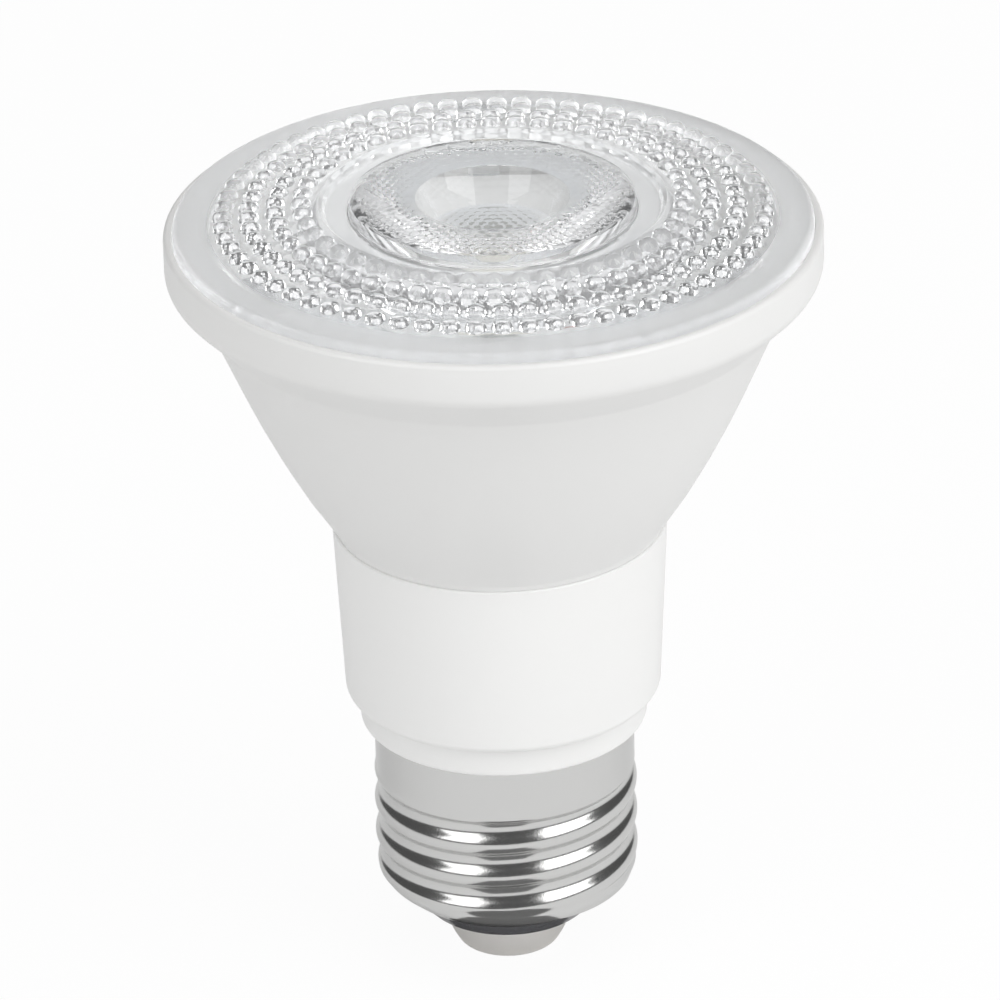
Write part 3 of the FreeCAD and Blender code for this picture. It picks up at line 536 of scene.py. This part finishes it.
class MakeHousing(bpy.types.Operator):
    """Make the white neck and the reflector housing"""

    bl_idname = "spotlight.make_housing"
    bl_label = "White Housing"

    LENS_GAP = 0.05

    def execute(self, context):
        sizes = context.scene.spotlight_sizes
        colours = context.scene.spotlight_colours
        plastic = white_polymer("neck_white_pbt", colours.neck)
        shape = turned([
            (10.9, 20.4), (12.45, 20.4), (12.45, 25.7), (14.2, 25.7, 0.45), (14.2, 28.9, 0.12),
            (15.58, 28.9, 0.9), (16.44, 47.13, 0.22), (14.94, 47.13), (14.94, 42.63),
            (14.08, 42.63), (14.08, 30.4), (12.7, 30.4), (12.7, 27.2), (10.9, 27.2),
        ])
        finish_piece(shape, "neck_shell", plastic, "white_plastic", "neck_housing")
        lip = sizes.lip_radius / MM
        lip_top = sizes.lip_top / MM
        seat = sizes.lens_radius / MM + self.LENS_GAP
        shape = turned([
            (13.39, 42.68), (14.89, 42.68), (14.89, 47.13), (16.2, 47.15), (16.35, 47.7, 0.5),
            (19.3, 52.0, 60), (23.4, 60.0, 90), (27.94, 70.64, 1.4), (lip, 74.45, 1.75),
            (lip, lip_top, 0.45), (seat, lip_top, 0.08), (seat, 77.6), (27.2, 77.6, 0.1),
            (27.2, 76.0), (29.2, 76.0), (29.2, 74.0), (28.2, 74.0), (14.7, 48.3), (13.39, 47.1),
        ])
        plastic = white_polymer("housing_white_pbt", colours.housing)
        finish_piece(shape, "reflector_shell", plastic, "white_plastic", "reflector_housing")
        return {"FINISHED"}


class MakeLens(bpy.types.Operator):
    """Make the clear lens: flange, beaded ring, gutter, collimator and well"""

    bl_idname = "spotlight.make_lens"
    bl_label = "Front Lens"

    # Rims as radius and level: the beaded band lies from INNER to OUTER, and the
    # honeycomb from WELL to FACE and inside FLOOR.
    INNER = (16.73, 81.22)
    OUTER = (27.2, 79.55)
    FACE = (13.7, 81.45)
    WELL = (7.45, 81.45)
    FLOOR = (6.2, 77.9)
    # How far the beads are lifted, and how near a facet's middle comes to a rim,
    # as a share of its own radius.
    BEAD_LIFT = 0.05
    RIM_SPACE = 1.15
    # One hook's thickness, width and height, its middle, and the first one's turn.
    HOOK_SIZE = (1.3, 5.0, 3.6)
    HOOK_MIDDLE = (26.4, 0, 76.4)
    FIRST_HOOK = 93

    def execute(self, context):
        sizes = context.scene.spotlight_sizes
        colours = context.scene.spotlight_colours
        rim = sizes.lens_radius / MM
        shape = bmesh.new()
        draw_outline(shape, [
            (0, 72.8), (3.8, 72.8, 0.3), (3.8, 70.0), (4.8, 70.0), (10.6, 74.6, 14),
            (13.7, 78.8), (16.73, 78.8, 0.5), (18.2, 79.45), (27.2, 78.05), (27.2, 77.68),
            (rim, 77.68), (rim, 79.37, 0.7), (28.4, 79.45, 0.8), self.OUTER,
        ], closed=False)
        draw_outline(shape, [
            self.INNER, (16.35, 80.95, 0.3), (16.1, 80.3, 0.3), (13.85, 80.3, 0.25),
            self.FACE,
        ], closed=False)
        draw_outline(shape, [self.WELL, (6.35, 78.3, 0.3), self.FLOOR], closed=False)
        spin_outlines(shape)
        self.add_beads(shape, sizes)
        self.add_facets(shape, sizes, self.WELL, self.FACE)
        self.add_facets(shape, sizes, (0, self.FLOOR[1]), self.FLOOR)
        bmesh.ops.recalc_face_normals(shape, faces=shape.faces)
        self.add_hooks(shape)
        plastic = clear_polymer(colours.lens)
        finish_piece(shape, "clear_lens", plastic, "clear_plastic", "front_lens")
        return {"FINISHED"}

    @staticmethod
    def fill_round(shape, inner, outer):
        """Fills what is open between two rims, each a radius and a level, round
        whatever pattern stands there."""
        low, high = sorted((inner[1], outer[1]))
        edges = [
            edge for edge in shape.edges
            if edge.is_boundary and all(
                inner[0] - NEAR <= across(vert) / MM <= outer[0] + NEAR
                and low - NEAR <= vert.co.z / MM <= high + NEAR
                for vert in edge.verts
            )
        ]
        bmesh.ops.triangle_fill(shape, edges=edges, use_beauty=True, normal=(0, 0, 1))

    def add_beads(self, shape, sizes):
        """Domes in rings on the sloping band, each second ring turned by half a
        bead. The feet of the domes lie in the band, which is filled round them."""
        slope = math.atan2(self.INNER[1] - self.OUTER[1], self.OUTER[0] - self.INNER[0])
        dome = bmesh.new()
        bmesh.ops.create_uvsphere(dome, u_segments=12, v_segments=8, radius=sizes.bead_radius)
        bmesh.ops.bisect_plane(
            dome, geom=dome.verts[:] + dome.edges[:] + dome.faces[:], plane_co=(0, 0, 0),
            plane_no=(0, 0, 1), clear_inner=True, dist=MM / 1e3,
        )
        bead = bpy.data.meshes.new("bead")
        dome.to_mesh(bead)
        dome.free()
        rings = bmesh.new()
        for ring in range(sizes.bead_rings):
            radius = sizes.first_ring + ring * sizes.ring_step
            level = self.INNER[1] * MM - (radius - self.INNER[0] * MM) * math.tan(slope)
            count = round(2 * math.pi * radius / sizes.bead_spacing)
            for place in range(count):
                angle = 2 * math.pi * (place + ring % 2 / 2) / count
                one = bead.copy()
                one.transform(
                    Matrix.Rotation(angle, 4, "Z")
                    @ Matrix.Translation((radius, 0, level + self.BEAD_LIFT * MM))
                    @ Matrix.Rotation(slope, 4, "Y")
                    @ Matrix.Diagonal((1, 1, sizes.bead_height / sizes.bead_radius, 1))
                )
                rings.from_mesh(one)
                bpy.data.meshes.remove(one)
        for vert in rings.verts:
            if vert.is_boundary:
                fall = (across(vert) - self.INNER[0] * MM) * math.tan(slope)
                vert.co.z = self.INNER[1] * MM - fall
        rings.to_mesh(bead)
        rings.free()
        shape.from_mesh(bead)
        bpy.data.meshes.remove(bead)
        self.fill_round(shape, self.INNER, self.OUTER)

    def add_facets(self, shape, sizes, inner, outer):
        """A honeycomb of bulging facets on a level face, whole cells only, which
        is filled out to its rims."""
        pitch = sizes.facet_pitch
        corner = pitch / math.sqrt(3)
        rim_space = self.RIM_SPACE * corner
        level = outer[1]
        one = bmesh.new()
        bmesh.ops.create_circle(
            one, cap_ends=True, cap_tris=True, segments=6, radius=corner,
            matrix=Matrix.Translation((0, 0, level * MM)),
        )
        spokes = [edge for edge in one.edges if not edge.is_boundary]
        bmesh.ops.subdivide_edges(one, edges=spokes, cuts=1)
        for vert in one.verts:
            if not vert.is_boundary:
                vert.co.z += sizes.facet_rise * (1 - (across(vert) / corner) ** 2)
        cell = bpy.data.meshes.new("facet")
        one.to_mesh(cell)
        one.free()
        comb = bmesh.new()
        reach = math.ceil(outer[0] * MM / pitch) + 1
        nearest = inner[0] * MM + rim_space if inner[0] else -1
        farthest = outer[0] * MM - rim_space
        for row in range(-reach * 2, reach * 2):
            for place in range(-reach, reach + 1):
                step = Vector((pitch * (place + row % 2 / 2), pitch * math.sqrt(3) / 2 * row, 0))
                if not nearest < step.length < farthest:
                    continue
                copy = cell.copy()
                copy.transform(Matrix.Translation(step))
                comb.from_mesh(copy)
                bpy.data.meshes.remove(copy)
        bmesh.ops.remove_doubles(comb, verts=comb.verts, dist=pitch / 50)
        comb.to_mesh(cell)
        comb.free()
        shape.from_mesh(cell)
        bpy.data.meshes.remove(cell)
        middle = ((inner[0] + outer[0]) / 2, level)
        self.fill_round(shape, middle, outer)
        if inner[0]:
            self.fill_round(shape, inner, middle)

    def add_hooks(self, shape):
        """Three hooks under the flange that clip the lens to the housing."""
        for turn in range(3):
            made = bmesh.ops.create_cube(shape, size=1.0)
            seat = (
                Matrix.Rotation(math.radians(self.FIRST_HOOK + 120 * turn), 4, "Z")
                @ Matrix.Translation(Vector(self.HOOK_MIDDLE) * MM)
                @ Matrix.Diagonal((Vector(self.HOOK_SIZE) * MM).to_4d())
            )
            bmesh.ops.transform(shape, matrix=seat, verts=made["verts"])


class FinishInside(bpy.types.Operator):
    """Give the heat sink, the light source and the driver their finishes"""

    bl_idname = "spotlight.finish_inside"
    bl_label = "Inside"

    def execute(self, context):
        # Each node has its material's name, colour, roughness and grain.
        metals = {
            "heat_sink": ("pressed_aluminium", "#F0F1F2", 0.46, 0.5 * MM),
            "board_screws": ("zinc_plated_steel", "#B9B9B6", 0.3, 0.3 * MM),
            "electrolytic_capacitor": ("drawn_aluminium_can", "#6A6E78", 0.35, 0.4 * MM),
            "inductor_winding": ("enamelled_copper", "#A65A34", 0.35, 0.3 * MM),
        }
        others = {
            "led_board": ("white_solder_mask", "#F0F1F1", 0.35, 0.6 * MM),
            "led_package": ("white_alumina", "#EAE8E0", 0.45, 0.3 * MM),
            "led_phosphor": ("phosphor_silicone", "#ECE9DD", 0.3, 0.3 * MM),
            "driver_board": ("green_solder_mask", "#1F5A33", 0.35, 0.6 * MM),
            "bridge_rectifier": ("black_epoxy_moulding", "#1B1B1C", 0.5, 0.3 * MM),
            "controller_chip": ("black_epoxy_package", "#1D1D1F", 0.5, 0.3 * MM),
            "output_diode": ("black_epoxy_body", "#1A1A1B", 0.5, 0.3 * MM),
            "film_capacitor": ("yellow_epoxy_dip", "#C98F2B", 0.35, 0.4 * MM),
            "inductor_core": ("sintered_ferrite", "#2A2A2C", 0.6, 0.3 * MM),
            "varistor": ("blue_epoxy_dip", "#2B4F86", 0.4, 0.4 * MM),
            "fuse_resistor": ("cement_coated_resistor", "#6E8463", 0.6, 0.3 * MM),
            "ac_line_wire": ("black_wire_sleeve", "#1C1C1C", 0.45, 0.5 * MM),
            "ac_neutral_wire": ("white_wire_sleeve", "#E6E6E2", 0.45, 0.5 * MM),
            "dc_positive_wire": ("red_wire_sleeve", "#B98680", 0.45, 0.5 * MM),
            "dc_negative_wire": ("black_wire_sleeve_dc", "#202020", 0.45, 0.5 * MM),
        }
        for node, (name, hex_colour, roughness, grain) in metals.items():
            paint_node(node, satin_metal(name, linear(hex_colour), roughness, grain))
        for node, (name, hex_colour, roughness, grain) in others.items():
            paint_node(node, moulded(name, linear(hex_colour), roughness, grain))
        return {"FINISHED"}


def flat_sheet(name, material, matrix):
    """A flat square of the stage, 2 m wide before its matrix."""
    shape = bmesh.new()
    bmesh.ops.create_grid(shape, x_segments=1, y_segments=1, size=1.0, matrix=matrix)
    mesh = bpy.data.meshes.new(name)
    shape.to_mesh(mesh)
    shape.free()
    mesh.materials.append(material)
    sheet = bpy.data.objects.new(name, mesh)
    bpy.context.scene.collection.objects.link(sheet)
    return sheet


class MakeStage(bpy.types.Operator):
    """Set the camera, the floor, the painted shadow strip, the world and the lamps"""

    bl_idname = "spotlight.make_stage"
    bl_label = "Stage"

    # The camera's angle above the level and its lean in radians, its distance in
    # metres, the point that it looks at, and its focal length in millimetres.
    ELEVATION = 0.46587
    LEAN = 0.0225
    DISTANCE = 0.7
    AIM = (0.06 * MM, 0.0, 48.881 * MM)
    LENS = 257.39
    # The share of plain white that the floor shows to the camera, and the share
    # of that in metal and through the lens.
    FLOOR_TO_CAMERA = 0.94
    FLOOR_IN_GLOSS = 0.12
    # Middle and half sizes of the painted shadow strip, a grey sheet that stands in for the bulb's
    # own shadow in front of its base and shows only in metal.
    SHADOW_STRIP_MIDDLE = (0, -17.3 * MM, 4.45 * MM)
    SHADOW_STRIP_HALF = (6.3 * MM, 11 * MM)
    # The world's strength as light, and in metal. A first mirror image has a ray
    # depth under FIRST_MIRROR, and later ones, inside the lens, are over it.
    WORLD_LIGHT = 0.46
    WORLD_IN_METAL = 0.10
    FIRST_MIRROR = 2.5
    LAMP_DISTANCE = 0.5

    def execute(self, context):
        self.make_camera(context.scene)
        self.make_floor()
        self.make_painted_shadow_strip()
        self.make_world(context.scene)
        self.make_lamps()
        context.scene.view_settings.view_transform = "Standard"
        return {"FINISHED"}

    def make_camera(self, scene):
        """The camera stands where the photograph was taken from."""
        data = bpy.data.cameras.new("camera")
        data.lens = self.LENS
        data.sensor_width = 36
        data.clip_start = 0.01
        data.clip_end = 20
        camera = bpy.data.objects.new("camera", data)
        scene.collection.objects.link(camera)
        back = Vector((0, -math.cos(self.ELEVATION), math.sin(self.ELEVATION)))
        camera.location = Vector(self.AIM) + back * self.DISTANCE
        camera.rotation_mode = "QUATERNION"
        level = (-back).to_track_quat("-Z", "Y")
        camera.rotation_quaternion = level @ Quaternion((0, 0, 1), -self.LEAN)
        scene.camera = camera

    def make_floor(self):
        """A white floor that keeps a faint shadow."""
        material = new_material("white_sweep")
        tree = material.node_tree
        paper = add_node(tree, "ShaderNodeBsdfDiffuse", {"Color": linear("#F2F2F2")})
        glow = add_node(tree, "ShaderNodeEmission", {"Color": (1, 1, 1, 1), "Strength": 1.0})
        path = add_node(tree, "ShaderNodeLightPath")
        sharp = add_node(tree, "ShaderNodeMath", {
            0: path.outputs["Is Glossy Ray"], 1: path.outputs["Is Transmission Ray"],
        }, operation="MAXIMUM")
        mirrored = add_node(tree, "ShaderNodeMath", {
            0: sharp.outputs[0], 1: self.FLOOR_IN_GLOSS,
        }, operation="MULTIPLY")
        share = add_node(tree, "ShaderNodeMath", {
            0: path.outputs["Is Camera Ray"], 1: self.FLOOR_TO_CAMERA, 2: mirrored.outputs[0],
        }, operation="MULTIPLY_ADD")
        both = add_node(tree, "ShaderNodeMixShader", {
            0: share.outputs[0], 1: paper.outputs[0], 2: glow.outputs[0],
        })
        add_node(tree, "ShaderNodeOutputMaterial", {"Surface": both.outputs[0]})
        floor = flat_sheet("floor", material, Matrix.Diagonal((3.0, 3.0, 1, 1)))

    def make_painted_shadow_strip(self):
        """A narrow grey sheet in front of the base that is painted shade: it stands in for the
        bulb's own shadow on the floor there. Only shiny metal shows it, as a painted reflection of
        shade, the dark wedges under the thread."""
        material = new_material("painted_floor_shadow")
        tree = material.node_tree
        # This grey is painted shade, the floor's shadow in front of the base.
        painted_shade = add_node(tree, "ShaderNodeBsdfDiffuse", {"Color": linear("#7A7A7A")})
        add_node(tree, "ShaderNodeOutputMaterial", {"Surface": painted_shade.outputs[0]})
        seat = Matrix.Translation(self.SHADOW_STRIP_MIDDLE) @ Matrix.Diagonal((*self.SHADOW_STRIP_HALF, 1, 1))
        strip = flat_sheet("painted_shadow_strip", material, seat)
        strip.visible_camera = False
        strip.visible_diffuse = False
        strip.visible_transmission = False
        strip.visible_shadow = False

    def make_world(self, scene):
        """A white room to the camera and through the lens, a plain grey one for
        light, and a dark one where shiny metal mirrors it first."""
        world = bpy.data.worlds.new("studio")
        scene.world = world
        world.use_nodes = True
        tree = world.node_tree
        tree.nodes.clear()
        path = add_node(tree, "ShaderNodeLightPath")
        plain = add_node(tree, "ShaderNodeBackground", {
            "Color": (1, 1, 1, 1), "Strength": self.WORLD_LIGHT,
        })
        dark = add_node(tree, "ShaderNodeBackground", {
            "Color": (1, 1, 1, 1), "Strength": self.WORLD_IN_METAL,
        })
        white = add_node(tree, "ShaderNodeBackground", {"Color": (1, 1, 1, 1), "Strength": 1.0})
        first = add_node(tree, "ShaderNodeMath", {
            0: path.outputs["Ray Depth"], 1: self.FIRST_MIRROR,
        }, operation="LESS_THAN")
        mirrored = add_node(tree, "ShaderNodeMixShader", {
            0: first.outputs[0], 1: white.outputs[0], 2: dark.outputs[0],
        })
        around = add_node(tree, "ShaderNodeMixShader", {
            0: path.outputs["Is Glossy Ray"], 1: plain.outputs[0], 2: mirrored.outputs[0],
        })
        through = add_node(tree, "ShaderNodeMixShader", {
            0: path.outputs["Is Transmission Ray"], 1: around.outputs[0], 2: white.outputs[0],
        })
        seen = add_node(tree, "ShaderNodeMixShader", {
            0: path.outputs["Is Camera Ray"], 1: through.outputs[0], 2: white.outputs[0],
        })
        add_node(tree, "ShaderNodeOutputWorld", {"Surface": seen.outputs[0]})

    def make_lamps(self):
        """Two tall soft boxes, one each side of the camera, and a fill at the side
        that shiny metal doesn't show. Two small lamps behind light no surface and
        are the only ones that show through the lens, as glints in its beads. Each
        has its turn about the bulb in degrees, then its width, height and level in
        metres, and its power in watts."""
        boxes = {
            "soft_box_left": (-43.0, 0.305, 2.0, 1.11, 3.9),
            "soft_box_right": (51.5, 0.41, 2.0, 1.11, 6.7),
            "side_fill": (98.0, 0.3, 2.0, 1.11, 1.3),
            "glint_left": (-135.0, 0.26, 0.26, 0.29, 0.8),
            "glint_right": (135.0, 0.26, 0.26, 0.29, 0.8),
        }
        for name, (turn, wide, tall, middle, power) in boxes.items():
            data = bpy.data.lights.new(name, "AREA")
            data.shape = "RECTANGLE"
            data.size = wide
            data.size_y = tall
            data.energy = power
            lamp = bpy.data.objects.new(name, data)
            bpy.context.scene.collection.objects.link(lamp)
            side = math.radians(turn)
            out = Vector((math.sin(side), -math.cos(side), 0))
            lamp.location = out * self.LAMP_DISTANCE + Vector((0, 0, middle))
            lamp.rotation_mode = "QUATERNION"
            lamp.rotation_quaternion = (-out).to_track_quat("-Z", "Y")
            lamp.visible_glossy = name.startswith("soft_box")
            lamp.visible_diffuse = not name.startswith("glint")
            lamp.visible_transmission = name.startswith("glint")


class SpotlightPanel(bpy.types.Panel):
    """Lists the sizes, the colours and the pieces"""

    bl_idname = "VIEW3D_PT_spotlight"
    bl_label = "Spotlight Bulb"
    bl_space_type = "VIEW_3D"
    bl_region_type = "UI"
    bl_category = "Spotlight"

    def draw(self, context):
        layout = self.layout
        for group in (context.scene.spotlight_sizes, context.scene.spotlight_colours):
            box = layout.box()
            for name in group.__annotations__:
                box.prop(group, name)
        for operator in OPERATORS:
            layout.operator(operator.bl_idname)


OPERATORS = (
    MakeContact,
    MakeInsulator,
    MakeScrewShell,
    MakeHousing,
    MakeLens,
    FinishInside,
    MakeStage,
)
CLASSES = (SpotlightSizes, SpotlightColours) + OPERATORS + (SpotlightPanel,)


def register():
    for item in CLASSES:
        bpy.utils.register_class(item)
    bpy.types.Scene.spotlight_sizes = PointerProperty(type=SpotlightSizes)
    bpy.types.Scene.spotlight_colours = PointerProperty(type=SpotlightColours)


def unregister():
    del bpy.types.Scene.spotlight_colours
    del bpy.types.Scene.spotlight_sizes
    for item in reversed(CLASSES):
        bpy.utils.unregister_class(item)


def main():
    register()
    for operator in OPERATORS:
        group, name = operator.bl_idname.split(".")
        getattr(getattr(bpy.ops, group), name)()


if __name__ == "__main__":
    main()
